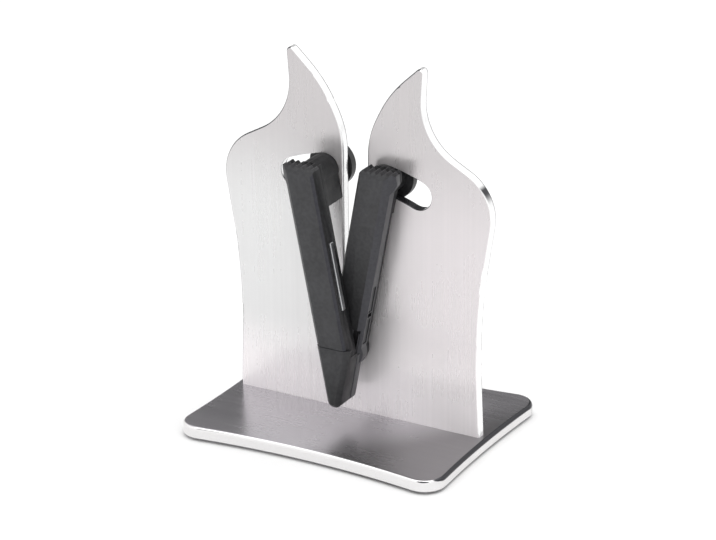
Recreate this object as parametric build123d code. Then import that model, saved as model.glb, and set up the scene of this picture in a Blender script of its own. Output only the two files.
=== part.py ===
from build123d import *
import os
from math import asin, cos, degrees, radians, sin, tan

# Knife sharpener with two spring-loaded arms that cross like scissors in front of a steel plate.
# Frame: millimetres, X to the right, Y away from the viewer, Z up, origin at the bottom centre.
# The front face of the upright plate is at Y = 0.

# Base
BASE_WIDTH = 121.0
BASE_DEPTH = 94.5
BASE_THICK = 5.0
BASE_FRONT_SAG = 5.2
BASE_SIDE_SAG = 2.0
BASE_CORNER_RADIUS = 9.0
BASE_TOP_ROUND = 1.5
BASE_BOTTOM_CHAMFER = 0.5
PAD_THICK = 1.0
PAD_INSET = 4.0
PAD_CORNER_RADIUS = 6.0

# Upright plate: half widths of the outline's corners, heights above the base up to the waist and
# above the shoulder from there on
PLATE_THICK = 4.5
FOOT_HALF = 55.5
WAIST_HALF = 53.7
WAIST_HEIGHT = 49.5
WAIST_RADIUS = 255.0
SHOULDER_HALF = 62.7
SHOULDER_RADIUS = 20.3
NECK_HALF = 29.0
NECK_RISE = 18.5
NECK_RADIUS = 24.9
TIP_HALF = 31.1
TIP_RISE = 49.4
TIP_RADIUS = 1.8
BEND_HALF = 14.5
BEND_RISE = 33.9
BEND_RADIUS = 53.9
THROAT_RISE = 14.7
THROAT_RADIUS = 35.7
GAP_HALF = 5.45
GAP_ABOVE_PIVOT = 11.5
GAP_END_RADIUS = 5.4
PLATE_EDGE_ROUND = 0.9
SLOT_EDGE_ROUND = 0.4
SIDE_TAKEN_SHARE = 0.995

# Small blind hole beside the knife gap
DIMPLE_OFFSET = 10.4
DIMPLE_DROP = 14.0
DIMPLE_RADIUS = 0.9
DIMPLE_DEPTH = 1.5

# Tenons under the plate and the screws that pull them down
TENON_OFFSET = 32.0
TENON_WIDTH = 26.0
TENON_DEPTH = 3.0
TENON_CLEAR = 0.1
BASE_SCREW_SPACING = 14.0
BASE_SCREW_RADIUS = 1.5
BASE_SCREW_HEAD_RADIUS = 2.8
BASE_SCREW_LENGTH = 11.0
BASE_SCREW_HOLE_SPARE = 1.0

# Fits
RUN_CLEAR = 0.05
FACE_CLEAR = 0.3
CUT_OVER = 1.0

# Pivot
PIVOT_HEIGHT = 30.5
PIN_RADIUS = 3.0
PIN_HEAD_RADIUS = 4.8
PIN_HEAD_THICK = 1.6
PIN_THREAD_RADIUS = 2.5
PIN_THREAD_LENGTH = 9.5
BUSH_RADIUS = 4.0
BUSH_STAND = 0.15
SPACER_RADIUS = 5.5
WASHER_RADIUS = 5.6
WASHER_THICK = 1.0
NUT_FLATS = 8.0
NUT_THICK = 4.0
NUT_DOME_RADIUS = 3.6
NUT_DOME_HEIGHT = 2.6
NUT_DOME_ROUND = 2.3

# Arms, measured along the arm from the pivot and across it, outer side negative
ARM_SWING = 11.5
ARM_HALF = 7.0
ARM_OUTER_FOOT = 6.5
ARM_DEPTH = 9.0
ARM_STANDOFF = 2.6
LAYER_GAP = 0.4
ARM_OUTER_CHAMFER = 2.6
ARM_INNER_CHAMFER = 1.0
BACK_THICK = 2.6
BACK_INSET = 0.5
HEAD_HEIGHT = 79.2
HEAD_CHAMFER = 2.3
HEAD_RUN_OUT = 12.0
LIP_START_DROP = 6.2
LIP_PEAK_DROP = 2.0
LIP_PROUD = 1.7
LIP_TOP_RISE = 3.8
LIP_TOP_PROUD = 0.5
LIP_RADIUS = 2.0
RIB_COUNT = 6
RIB_PITCH = 2.5
RIB_DEPTH = 1.0
EYE_RADIUS = 6.4
EYE_THICK = 5.5
REAR_FOOT_RADIUS = 7.4
SEAM_HEIGHT = 5.1
SEAM_GAP = 0.25

# Hollow of the shells and what is let into them
HOLLOW_START = 14.0
HOLLOW_END_DROP = 27.2
HOLLOW_OUTER = 4.2
HOLLOW_INNER = 3.0
HOLLOW_WALL = 2.0
HOLLOW_RADIUS = 1.5
BAR_START = 20.0
BAR_LENGTH = 28.4
BAR_WIDTH = 2.4
BAR_THICK = 3.0
BAR_PROUD = 0.6
BAR_CHAMFER = 0.25
RECESS_DEPTH = 0.5
RECESS_WIDTH = 2.8
RECESS_MARGIN = 0.6
UPPER_RECESS_START = 19.6
UPPER_RECESS_END = 31.0
LOWER_RECESS_START = 5.0
LOWER_RECESS_END = 16.4
NOTCH_START = 17.2
NOTCH_LENGTH = 1.9
CATCH_THICK = 1.2
ARM_SCREW_RADIUS = 1.25
ARM_SCREW_HEAD_RADIUS = 2.3
ARM_SCREW_LENGTH = 6.0
LOWER_SCREW_ALONG = 9.6
LOWER_SCREW_ACROSS = 3.0
UPPER_SCREW_DROP = 23.2

# Guides: pillar on the arm, collar in the slot, disc behind the plate
GUIDE_DROP = 5.1
GUIDE_BUSH_RADIUS = 6.0
SLOT_CLEAR = 0.1
SLOT_WEB = 2.33495
PILLAR_HALF = 6.0
PILLAR_LENGTH = 12.3
PILLAR_RADIUS = 6.4
DISC_RADIUS = 9.75
DISC_THICK = 3.8
DISC_EDGE_ROUND = 0.8
GUIDE_SCREW_RADIUS = 2.0
GUIDE_SCREW_HEAD_RADIUS = 3.9
GUIDE_SCREW_LENGTH = 16.0
SOCKET_FLATS_SHARE = 0.62
SOCKET_DEPTH_SHARE = 0.75

# Return spring between the two arms
WIRE_RADIUS = 0.4
COIL_RADIUS = 4.9
COIL_EXTRA_TURNS = 2
COIL_LEG = 10.0
POCKET_RADIUS = 5.6
POCKET_DEPTH = 1.8
LEG_SLOT_LENGTH = 11.6
LEG_SLOT_SIDE = 0.2

# Tip cap of the front arm and the like foot of the rear arm
TIP_DROP = 21.2
TIP_CORNER_RADIUS = 2.6
TIP_CHAMFER = 1.8
REAR_TIP_DEPTH = 4.4
REAR_TIP_CHAMFER = 0.6
PEG_RADIUS = 0.8
PEG_ACROSS = 4.9
PEG_HEIGHT = 3.2
PEG_LENGTH = 2.4
HEAD_POCKET_CLEAR = 0.3

# Places worked out from the sizes above
BASE_TOP = PAD_THICK + BASE_THICK
PIVOT_Z = BASE_TOP + PIVOT_HEIGHT
GUIDE_REACH = HEAD_HEIGHT - GUIDE_DROP
GUIDE_OFFSET = GAP_HALF + SLOT_WEB + SLOT_CLEAR + GUIDE_BUSH_RADIUS
ARM_LEAN = degrees(asin(GUIDE_OFFSET / GUIDE_REACH))
SHOULDER_HEIGHT = PIVOT_HEIGHT + GUIDE_REACH
LIP_START = HEAD_HEIGHT - LIP_START_DROP
LIP_PEAK = HEAD_HEIGHT - LIP_PEAK_DROP
LIP_TOP = HEAD_HEIGHT + LIP_TOP_RISE
HOLLOW_END = HEAD_HEIGHT - HOLLOW_END_DROP
UPPER_SCREW_ALONG = HEAD_HEIGHT - UPPER_SCREW_DROP
PILLAR_START = GUIDE_REACH - PILLAR_LENGTH
RIGHT_BACK = -ARM_STANDOFF
RIGHT_FRONT = RIGHT_BACK - ARM_DEPTH
LEFT_BACK = RIGHT_FRONT - LAYER_GAP
LEFT_FRONT = LEFT_BACK - ARM_DEPTH
EYE_FRONT = LEFT_BACK - EYE_THICK
DISC_FRONT = PLATE_THICK + FACE_CLEAR
DISC_BACK = DISC_FRONT + DISC_THICK
CUT_REACH = HEAD_HEIGHT + HEAD_RUN_OUT
ARM_FAR = CUT_REACH / cos(radians(ARM_LEAN))


def upright(y):
    """Sketch plane at depth y, seen from the front, with its normal towards the viewer."""
    return Plane(origin=(0, y, 0), x_dir=(1, 0, 0), z_dir=(0, -1, 0))


def slab(face, y_front, y_back):
    """Solid with the outline of face between two depths."""
    return extrude(upright(y_back) * face, amount=y_back - y_front)


def rod(x, z, radius, y_front, y_back):
    """Cylinder along Y."""
    return slab(Pos(x, z) * Circle(radius), y_front, y_back)


def hexagon(x, z, flats, y_front, y_back):
    """Hexagonal bar along Y, given by its width across flats."""
    return slab(Pos(x, z) * RegularPolygon(flats / 2, 6, major_radius=False), y_front, y_back)


def polygon(points):
    """Face with straight sides."""
    return make_face(Polyline(*points, close=True))


def fitting_radii(points, radii):
    """Corner radii, each made smaller where two roundings would meet on the side between them."""
    corners = [Vector(*point) for point in points]
    sides = [corners[index] - corners[index - 1] for index in range(len(corners))]
    following = sides[1:] + sides[:1]
    turns = [radians(before.get_angle(after)) for before, after in zip(sides, following)]
    reaches = [radius * tan(turn / 2) for radius, turn in zip(radii, turns)]
    shares = [1] * len(corners)
    for index, side in enumerate(sides):
        taken = reaches[index - 1] + reaches[index]
        if taken > side.length * SIDE_TAKEN_SHARE:
            share = side.length * SIDE_TAKEN_SHARE / taken
            shares[index - 1] = min(shares[index - 1], share)
            shares[index] = min(shares[index], share)
    return [radius * share for radius, share in zip(radii, shares)]


def soft_polygon(points, radii):
    """Face whose corners are rounded, one radius for each corner."""
    return make_face(FilletPolyline(*points, radius=fitting_radii(points, radii), close=True))


def countersunk_screw(radius, head_radius, length):
    """Countersunk screw along -Z with its flat head at Z = 0 and a hexagon socket."""
    head = head_radius - radius
    profile = polygon([(0, 0), (head_radius, 0), (radius, -head), (radius, -length), (0, -length)])
    screw = revolve(Plane.XZ * profile, axis=Axis.Z)
    socket = RegularPolygon(head_radius * SOCKET_FLATS_SHARE / 2, 6, major_radius=False)
    return screw - extrude(socket, amount=-head * SOCKET_DEPTH_SHARE)


def countersunk_hole(radius, head_radius, length):
    """Cutter for such a screw, wider all round by the running clearance."""
    wide = head_radius + RUN_CLEAR
    narrow = radius + RUN_CLEAR
    points = [(0, CUT_OVER), (wide, CUT_OVER), (wide, 0), (narrow, narrow - wide)]
    points += [(narrow, -length), (0, -length)]
    return revolve(Plane.XZ * polygon(points), axis=Axis.Z)


def facing_back(shape, x, y, z):
    """Turn a screw or cutter so that its head faces the rear, at the given place."""
    return Pos(x, y, z) * Rot(-90, 0, 0) * shape


def facing_down(shape, x, y, z):
    """Turn a screw or cutter so that its head faces down, at the given place."""
    return Pos(x, y, z) * Rot(180, 0, 0) * shape


# Stand


def base_outline(inset, corner_radius):
    """Rectangle with four concave sides, drawn in from the base's edge."""
    half_x = BASE_WIDTH / 2 - inset
    half_y = BASE_DEPTH / 2 - inset
    side_mid = BASE_WIDTH / 2 - BASE_SIDE_SAG - inset
    front_mid = BASE_DEPTH / 2 - BASE_FRONT_SAG - inset
    edges = [
        ThreePointArc((-half_x, -half_y), (0, -front_mid), (half_x, -half_y)),
        ThreePointArc((half_x, -half_y), (side_mid, 0), (half_x, half_y)),
        ThreePointArc((half_x, half_y), (0, front_mid), (-half_x, half_y)),
        ThreePointArc((-half_x, half_y), (-side_mid, 0), (-half_x, -half_y)),
    ]
    face = make_face(edges)
    return fillet(face.vertices(), corner_radius)


def base_screw_places():
    """Centres of the four base screws along X."""
    half = BASE_SCREW_SPACING / 2
    return [side * TENON_OFFSET + step for side in (-1, 1) for step in (-half, half)]


def make_pad():
    return extrude(base_outline(PAD_INSET, PAD_CORNER_RADIUS), amount=PAD_THICK)


def make_base():
    base = Pos(0, 0, PAD_THICK) * extrude(base_outline(0, BASE_CORNER_RADIUS), amount=BASE_THICK)
    base = fillet(base.faces().sort_by(Axis.Z)[-1].edges(), BASE_TOP_ROUND)
    base = chamfer(base.faces().sort_by(Axis.Z)[0].edges(), BASE_BOTTOM_CHAMFER)
    depth = TENON_DEPTH + TENON_CLEAR + CUT_OVER
    mortise = Box(TENON_WIDTH + 2 * TENON_CLEAR, PLATE_THICK + 2 * TENON_CLEAR, depth)
    for side in (-1, 1):
        base -= Pos(side * TENON_OFFSET, PLATE_THICK / 2, BASE_TOP + CUT_OVER - depth / 2) * mortise
    hole = countersunk_hole(BASE_SCREW_RADIUS, BASE_SCREW_HEAD_RADIUS, BASE_SCREW_LENGTH)
    for x in base_screw_places():
        base -= facing_down(hole, x, PLATE_THICK / 2, PAD_THICK)
    return base


def make_base_screws():
    screw = countersunk_screw(BASE_SCREW_RADIUS, BASE_SCREW_HEAD_RADIUS, BASE_SCREW_LENGTH)
    places = base_screw_places()
    return Compound(children=[facing_down(screw, x, PLATE_THICK / 2, PAD_THICK) for x in places])


def plate_outline():
    """Outline of the upright plate, mirrored about the knife gap."""
    shoulder_z = BASE_TOP + SHOULDER_HEIGHT
    half = [
        (FOOT_HALF, BASE_TOP, 0),
        (WAIST_HALF, BASE_TOP + WAIST_HEIGHT, WAIST_RADIUS),
        (SHOULDER_HALF, shoulder_z, SHOULDER_RADIUS),
        (NECK_HALF, shoulder_z + NECK_RISE, NECK_RADIUS),
        (TIP_HALF, shoulder_z + TIP_RISE, TIP_RADIUS),
        (BEND_HALF, shoulder_z + BEND_RISE, BEND_RADIUS),
        (GAP_HALF, shoulder_z + THROAT_RISE, THROAT_RADIUS),
        (GAP_HALF, PIVOT_Z + GAP_ABOVE_PIVOT, GAP_END_RADIUS),
    ]
    corners = half + [(-x, z, radius) for x, z, radius in reversed(half)]
    return soft_polygon([(x, z) for x, z, _ in corners], [radius for _, _, radius in corners])


def slot_face(side, half_width):
    """Arc slot of one side, concentric with the pivot."""
    start = 90 - side * ARM_LEAN
    line = CenterArc((0, PIVOT_Z), GUIDE_REACH, start, -side * ARM_SWING)
    return SlotArc(line, 2 * half_width)


def plate_body():
    """The plate with rounded rims and both arc slots."""
    body = slab(plate_outline(), 0, PLATE_THICK)
    rims = body.faces().filter_by(Axis.Y).edges()
    rims = [edge for edge in rims if edge.center().Z > BASE_TOP + PLATE_EDGE_ROUND]
    body = fillet(rims, PLATE_EDGE_ROUND)
    for side in (-1, 1):
        slot = slot_face(side, GUIDE_BUSH_RADIUS + SLOT_CLEAR)
        body -= slab(slot, -CUT_OVER, PLATE_THICK + CUT_OVER)
    flats = body.faces().filter_by(Axis.Y)
    slot_rims = [edge for flat in flats for wire in flat.inner_wires() for edge in wire.edges()]
    return fillet(slot_rims, SLOT_EDGE_ROUND)


def make_plate():
    plate = plate_body()
    plate -= rod(0, PIVOT_Z, PIN_THREAD_RADIUS + RUN_CLEAR, -CUT_OVER, PLATE_THICK + CUT_OVER)
    dimple_z = BASE_TOP + SHOULDER_HEIGHT - DIMPLE_DROP
    plate -= rod(-DIMPLE_OFFSET, dimple_z, DIMPLE_RADIUS, -CUT_OVER, DIMPLE_DEPTH)
    tenon = Box(TENON_WIDTH, PLATE_THICK, TENON_DEPTH)
    for side in (-1, 1):
        plate += Pos(side * TENON_OFFSET, PLATE_THICK / 2, BASE_TOP - TENON_DEPTH / 2) * tenon
    tapped = BASE_SCREW_LENGTH + BASE_SCREW_HOLE_SPARE
    hole = Cylinder(BASE_SCREW_RADIUS + RUN_CLEAR, tapped)
    for x in base_screw_places():
        plate -= Pos(x, PLATE_THICK / 2, PAD_THICK + tapped / 2) * hole
    return plate


# Pivot


def make_pin():
    head_back = EYE_FRONT - RUN_CLEAR
    pin = rod(0, PIVOT_Z, PIN_HEAD_RADIUS, head_back - PIN_HEAD_THICK, head_back)
    pin += rod(0, PIVOT_Z, PIN_RADIUS, head_back, 0)
    return pin + rod(0, PIVOT_Z, PIN_THREAD_RADIUS, 0, PIN_THREAD_LENGTH)


def sleeve(outer, bore, y_front, y_back):
    """Ring on the pivot axis."""
    ring = rod(0, PIVOT_Z, outer, y_front, y_back)
    return ring - rod(0, PIVOT_Z, bore + RUN_CLEAR, y_front - CUT_OVER, y_back + CUT_OVER)


def make_spacer():
    return sleeve(SPACER_RADIUS, PIN_RADIUS, RIGHT_BACK + BUSH_STAND, 0)


def make_washer():
    return sleeve(WASHER_RADIUS, PIN_THREAD_RADIUS, PLATE_THICK, PLATE_THICK + WASHER_THICK)


def make_cap_nut():
    """Hexagon nut with a domed end, bored for the thread of the pin."""
    front = PLATE_THICK + WASHER_THICK
    back = front + NUT_THICK
    dome = rod(0, PIVOT_Z, NUT_DOME_RADIUS, back, back + NUT_DOME_HEIGHT)
    dome = fillet(dome.edges().sort_by(Axis.Y)[-1], NUT_DOME_ROUND)
    nut = hexagon(0, PIVOT_Z, NUT_FLATS, front, back) + dome
    bore_end = PIN_THREAD_LENGTH + FACE_CLEAR
    return nut - rod(0, PIVOT_Z, PIN_THREAD_RADIUS + RUN_CLEAR, front - CUT_OVER, bore_end)


def make_spring():
    """Torsion spring: a coil round the bushes and a straight leg along each arm."""
    front = LEFT_BACK - POCKET_DEPTH / 2 - WIRE_RADIUS / 2
    back = RIGHT_FRONT + POCKET_DEPTH / 2 + WIRE_RADIUS / 2
    turns = COIL_EXTRA_TURNS + (180 - 2 * ARM_LEAN) / 360
    height = back - front
    start = radians(-ARM_LEAN)
    frame = Plane(origin=(0, back, PIVOT_Z), x_dir=(cos(start), 0, sin(start)), z_dir=(0, -1, 0))
    coil = frame * Helix(height / turns, height, COIL_RADIUS, lefthand=True)
    first = Line(coil @ 0 - (coil % 0) * COIL_LEG, coil @ 0)
    last = Line(coil @ 1, coil @ 1 + (coil % 1) * COIL_LEG)
    path = Wire([first, coil, last])
    return sweep(Plane(origin=path @ 0, z_dir=path % 0) * Circle(WIRE_RADIUS), path=path)


# Arms: built upright with the pivot at the origin, X across and Z along, the outer side at -X


def at_rest(shape):
    """Lean an upright left arm piece and put it on the pivot."""
    return Pos(0, 0, PIVOT_Z) * Rot(0, -ARM_LEAN, 0) * shape


def arm_face(inset, start):
    """Arm outline from a place along the arm to beyond the head, with the lip on the outer side."""
    side = ARM_HALF - inset
    foot = ARM_OUTER_FOOT - inset
    points = [(side, start), (side, ARM_FAR), (-side - LIP_TOP_PROUD, ARM_FAR)]
    points += [(-side - LIP_TOP_PROUD, LIP_TOP), (-side - LIP_PROUD, LIP_PEAK)]
    points += [(-side, LIP_START), (-foot, start)]
    return soft_polygon(points, [0, 0, 0, LIP_RADIUS, LIP_RADIUS, LIP_RADIUS, 0])


def edge_cutter(y_front, side, half, size):
    """Prism that takes a 45 degree chamfer off a front edge along the arm."""
    reach = size + LIP_PROUD + CUT_OVER
    points = [
        (side * (half - size), y_front),
        (side * (half - size), y_front - CUT_OVER),
        (side * (half - size + reach), y_front - CUT_OVER),
        (side * (half - size + reach), y_front + reach),
    ]
    return extrude(Pos(0, 0, -ARM_FAR) * polygon(points), amount=2 * ARM_FAR)


def head_cutter():
    """Everything above the head, level when the arm is at rest, with grooves between the ribs."""
    block = Box(2 * CUT_REACH, 2 * CUT_REACH, 2 * HEAD_RUN_OUT)
    cutter = Pos(0, 0, HEAD_HEIGHT + HEAD_RUN_OUT) * block
    low = HEAD_HEIGHT - RIB_DEPTH
    centre = -HEAD_HEIGHT * tan(radians(ARM_LEAN))
    for index in range(RIB_COUNT + 1):
        x = centre + (index - RIB_COUNT / 2) * RIB_PITCH
        groove = polygon([(x - RIB_DEPTH, HEAD_HEIGHT), (x + RIB_DEPTH, HEAD_HEIGHT), (x, low)])
        cutter += slab(groove, -CUT_REACH, CUT_REACH)
    return Rot(0, ARM_LEAN, 0) * cutter


def head_bevel(y_front):
    """Prism that bevels the front edge of the head's top."""
    points = [
        (y_front - CUT_OVER, HEAD_HEIGHT - HEAD_CHAMFER - CUT_OVER),
        (y_front + HEAD_CHAMFER + CUT_OVER, HEAD_HEIGHT + CUT_OVER),
        (y_front - CUT_OVER, HEAD_HEIGHT + CUT_OVER),
    ]
    wedge = extrude(Plane.YZ * polygon(points), amount=CUT_REACH, both=True)
    return Rot(0, ARM_LEAN, 0) * wedge


def hollow(y_shell_back, y_front):
    """Pocket of the shell, open to the rear."""
    depth = y_shell_back - y_front - HOLLOW_WALL
    width = HOLLOW_OUTER + HOLLOW_INNER
    length = HOLLOW_END - HOLLOW_START
    face = RectangleRounded(width, length, HOLLOW_RADIUS)
    place = Pos((HOLLOW_INNER - HOLLOW_OUTER) / 2, (HOLLOW_START + HOLLOW_END) / 2)
    return slab(place * face, y_shell_back - depth, y_shell_back + CUT_OVER)


def bar_box(y_middle, spare):
    """The carbide bar, or with spare its groove."""
    inner = ARM_HALF + BAR_PROUD - BAR_THICK - spare
    outer = ARM_HALF + BAR_PROUD + (CUT_OVER if spare else 0)
    size = (outer - inner, BAR_WIDTH + 2 * spare, BAR_LENGTH + 2 * spare)
    return Pos((inner + outer) / 2, y_middle, BAR_START + BAR_LENGTH / 2) * Box(*size)


def side_recesses(y_shell_back):
    """Two shallow recesses and the catch window between them, on the outer side of the shell."""
    y = y_shell_back - RECESS_MARGIN - RECESS_WIDTH / 2
    cutter = None
    spans = [
        (LOWER_RECESS_START, LOWER_RECESS_END, RECESS_DEPTH),
        (UPPER_RECESS_START, UPPER_RECESS_END, RECESS_DEPTH),
        (NOTCH_START, NOTCH_START + NOTCH_LENGTH, ARM_HALF - HOLLOW_OUTER + RECESS_DEPTH),
    ]
    for start, end, depth in spans:
        floor = ARM_OUTER_FOOT + (ARM_HALF - ARM_OUTER_FOOT) * start / LIP_START - depth
        width = ARM_HALF + CUT_OVER - floor
        box = Pos(-floor - width / 2, y, (start + end) / 2) * Box(width, RECESS_WIDTH, end - start)
        cutter = box if cutter is None else cutter + box
    return cutter


def leg_slot(y_front, y_back):
    """Slot for a spring leg, wide enough for the arm's whole swing."""
    low = -COIL_RADIUS - WIRE_RADIUS - LEG_SLOT_SIDE
    sweep_out = COIL_LEG * sin(radians(ARM_SWING)) + WIRE_RADIUS + LEG_SLOT_SIDE
    high = -COIL_RADIUS + sweep_out + LEG_SLOT_SIDE
    size = (high - low, y_back - y_front, LEG_SLOT_LENGTH)
    return Pos((low + high) / 2, (y_front + y_back) / 2, LEG_SLOT_LENGTH / 2) * Box(*size)


def spring_pocket(y_open, towards):
    """Round pocket for the coil with the leg's slot, sunk from y_open in the given direction."""
    floor = y_open + towards * POCKET_DEPTH
    mouth = y_open - towards * CUT_OVER
    low = min(floor, mouth)
    high = max(floor, mouth)
    return rod(0, 0, POCKET_RADIUS, low, high) + leg_slot(low, high)


def arm_screw_places():
    return [(LOWER_SCREW_ACROSS, LOWER_SCREW_ALONG), (0, UPPER_SCREW_ALONG)]


def arm_holes(y_front, y_back):
    """Bores of one arm: the bush, the guide screw and the two cover screws."""
    cutter = rod(0, 0, BUSH_RADIUS + RUN_CLEAR, y_front - CUT_OVER, y_back + CUT_OVER)
    guide = countersunk_hole(GUIDE_SCREW_RADIUS, GUIDE_SCREW_HEAD_RADIUS, GUIDE_SCREW_LENGTH + CUT_OVER)
    cutter += facing_back(guide, 0, DISC_BACK, GUIDE_REACH)
    screw = countersunk_hole(ARM_SCREW_RADIUS, ARM_SCREW_HEAD_RADIUS, ARM_SCREW_LENGTH + CUT_OVER)
    for x, z in arm_screw_places():
        cutter += facing_back(screw, x, y_back, z)
    return cutter


def tip_half(height):
    """Half width of the wedge at a height from the pivot; its sides follow both arms."""
    lean = radians(ARM_LEAN)
    return ARM_OUTER_FOOT / cos(lean) + height * tan(lean)


def tip_slab(top, y_front, y_back, size):
    """Wedge below the pivot, level with the ground at rest, with a chamfered front edge."""
    points = [(tip_half(top), top), (-tip_half(top), top)]
    points += [(-tip_half(-TIP_DROP), -TIP_DROP), (tip_half(-TIP_DROP), -TIP_DROP)]
    tip = slab(soft_polygon(points, [0, 0, TIP_CORNER_RADIUS, TIP_CORNER_RADIUS]), y_front, y_back)
    front_edges = tip.faces().sort_by(Axis.Y)[0].edges()
    return chamfer([edge for edge in front_edges if edge.center().Z < top - RUN_CLEAR], size)


def seam_cutter(y_front):
    """What the tip cap takes the place of: all in front of the eye and below the seam."""
    block = Box(2 * CUT_REACH, EYE_FRONT - y_front + CUT_OVER, 2 * CUT_REACH)
    place = Pos(0, (EYE_FRONT + y_front - CUT_OVER) / 2, SEAM_HEIGHT - CUT_REACH)
    cutter = place * block
    for side in (-1, 1):
        hole_radius = PEG_RADIUS + RUN_CLEAR
        hole_back = EYE_FRONT + PEG_LENGTH
        cutter += rod(side * PEG_ACROSS, PEG_HEIGHT, hole_radius, EYE_FRONT - CUT_OVER, hole_back)
    return Rot(0, ARM_LEAN, 0) * cutter


def make_shell(y_front, is_front_arm):
    """Front moulding of an arm, upright; the rear arm's one runs out in a foot like the cap."""
    y_back = y_front + ARM_DEPTH
    y_shell_back = y_back - BACK_THICK
    foot = EYE_RADIUS if is_front_arm else REAR_FOOT_RADIUS
    shell = slab(arm_face(0, 0), y_front, y_shell_back)
    shell += rod(0, 0, foot, y_front, y_shell_back)
    shell -= edge_cutter(y_front, -1, ARM_HALF, ARM_OUTER_CHAMFER)
    shell -= edge_cutter(y_front, 1, ARM_HALF, ARM_INNER_CHAMFER)
    if not is_front_arm:
        tip = tip_slab(0, y_front, y_front + REAR_TIP_DEPTH, REAR_TIP_CHAMFER)
        shell += Rot(0, ARM_LEAN, 0) * tip
    shell -= head_cutter()
    shell -= head_bevel(y_front)
    shell -= hollow(y_shell_back, y_front)
    shell -= bar_box(y_front + ARM_DEPTH / 2, RUN_CLEAR)
    shell -= side_recesses(y_shell_back)
    shell -= arm_holes(y_front, y_back)
    if is_front_arm:
        return shell - seam_cutter(y_front)
    return shell - spring_pocket(y_front, 1)


def pillar_face():
    """Section of the pillar that carries the guide."""
    length = GUIDE_REACH - PILLAR_START
    face = Pos(0, PILLAR_START + length / 2) * Rectangle(2 * PILLAR_HALF, length)
    return face + Pos(0, GUIDE_REACH) * Circle(PILLAR_RADIUS)


def catch(y_shell_back):
    """Tongue of the cover that shows in the shell's window."""
    depth = RECESS_MARGIN + RECESS_WIDTH / 2
    x = -HOLLOW_OUTER + FACE_CLEAR + CATCH_THICK / 2
    place = Pos(x, y_shell_back - depth / 2, NOTCH_START + NOTCH_LENGTH / 2)
    return place * Box(CATCH_THICK, depth, NOTCH_LENGTH - 2 * FACE_CLEAR)


def make_back(y_front, is_front_arm):
    """Rear cover of an arm with its pillar and catch, upright."""
    y_back = y_front + ARM_DEPTH
    y_shell_back = y_back - BACK_THICK
    foot = (EYE_RADIUS if is_front_arm else REAR_FOOT_RADIUS) - BACK_INSET
    back = slab(arm_face(BACK_INSET, 0), y_shell_back, y_back)
    back += rod(0, 0, foot, y_shell_back, y_back)
    back -= head_cutter()
    back += slab(pillar_face(), y_back, -FACE_CLEAR)
    back -= arm_holes(y_front, y_back)
    if is_front_arm:
        back -= spring_pocket(y_back, -1)
    return back + catch(y_shell_back)


def make_bar(y_front):
    return chamfer(bar_box(y_front + ARM_DEPTH / 2, 0).edges(), BAR_CHAMFER)


def make_arm_bush(is_front_arm):
    """Steel bush in the arm's eye, a little longer than the eye so that it takes the thrust."""
    y_front = EYE_FRONT if is_front_arm else RIGHT_FRONT - BUSH_STAND
    y_back = LEFT_BACK + BUSH_STAND if is_front_arm else RIGHT_BACK + RUN_CLEAR
    ring = rod(0, 0, BUSH_RADIUS, y_front, y_back)
    return ring - rod(0, 0, PIN_RADIUS + RUN_CLEAR, y_front - CUT_OVER, y_back + CUT_OVER)


def make_guide_bush():
    ring = rod(0, GUIDE_REACH, GUIDE_BUSH_RADIUS, -FACE_CLEAR, DISC_FRONT)
    bore = GUIDE_SCREW_RADIUS + RUN_CLEAR
    return ring - rod(0, GUIDE_REACH, bore, -FACE_CLEAR - CUT_OVER, DISC_FRONT + CUT_OVER)


def make_guide_disc():
    disc = rod(0, GUIDE_REACH, DISC_RADIUS, DISC_FRONT, DISC_BACK)
    disc = fillet(disc.edges().sort_by(Axis.Y)[-1], DISC_EDGE_ROUND)
    hole = countersunk_hole(GUIDE_SCREW_RADIUS, GUIDE_SCREW_HEAD_RADIUS, GUIDE_SCREW_LENGTH)
    return disc - facing_back(hole, 0, DISC_BACK, GUIDE_REACH)


def make_guide_screw():
    screw = countersunk_screw(GUIDE_SCREW_RADIUS, GUIDE_SCREW_HEAD_RADIUS, GUIDE_SCREW_LENGTH)
    return facing_back(screw, 0, DISC_BACK, GUIDE_REACH)


def make_arm_screws(y_front):
    screw = countersunk_screw(ARM_SCREW_RADIUS, ARM_SCREW_HEAD_RADIUS, ARM_SCREW_LENGTH)
    places = arm_screw_places()
    return [facing_back(screw, x, y_front + ARM_DEPTH, z) for x, z in places]


def make_tip_cap():
    """Wedge below the seam of the front arm: it covers the eye and the pin's head."""
    cap = tip_slab(SEAM_HEIGHT - SEAM_GAP, LEFT_FRONT, LEFT_BACK, TIP_CHAMFER)
    room_front = EYE_FRONT - SLOT_CLEAR
    cap -= rod(0, 0, EYE_RADIUS + SLOT_CLEAR, room_front, LEFT_BACK + CUT_OVER)
    room = Box(2 * CUT_REACH, CUT_REACH, CUT_REACH)
    room = Pos(0, room_front + CUT_REACH / 2, CUT_REACH / 2 - SLOT_CLEAR) * room
    cap -= Rot(0, -ARM_LEAN, 0) * room
    pocket_front = EYE_FRONT - RUN_CLEAR - PIN_HEAD_THICK - HEAD_POCKET_CLEAR
    cap -= rod(0, 0, PIN_HEAD_RADIUS + HEAD_POCKET_CLEAR, pocket_front, LEFT_BACK)
    peg_back = EYE_FRONT + PEG_LENGTH - FACE_CLEAR
    for side in (-1, 1):
        cap += rod(side * PEG_ACROSS, PEG_HEIGHT, PEG_RADIUS, room_front, peg_back)
    return Pos(0, 0, PIVOT_Z) * cap


def to_right(shape):
    """Mirror a leaning left piece to the right side."""
    return mirror(shape, about=Plane.YZ)


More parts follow.
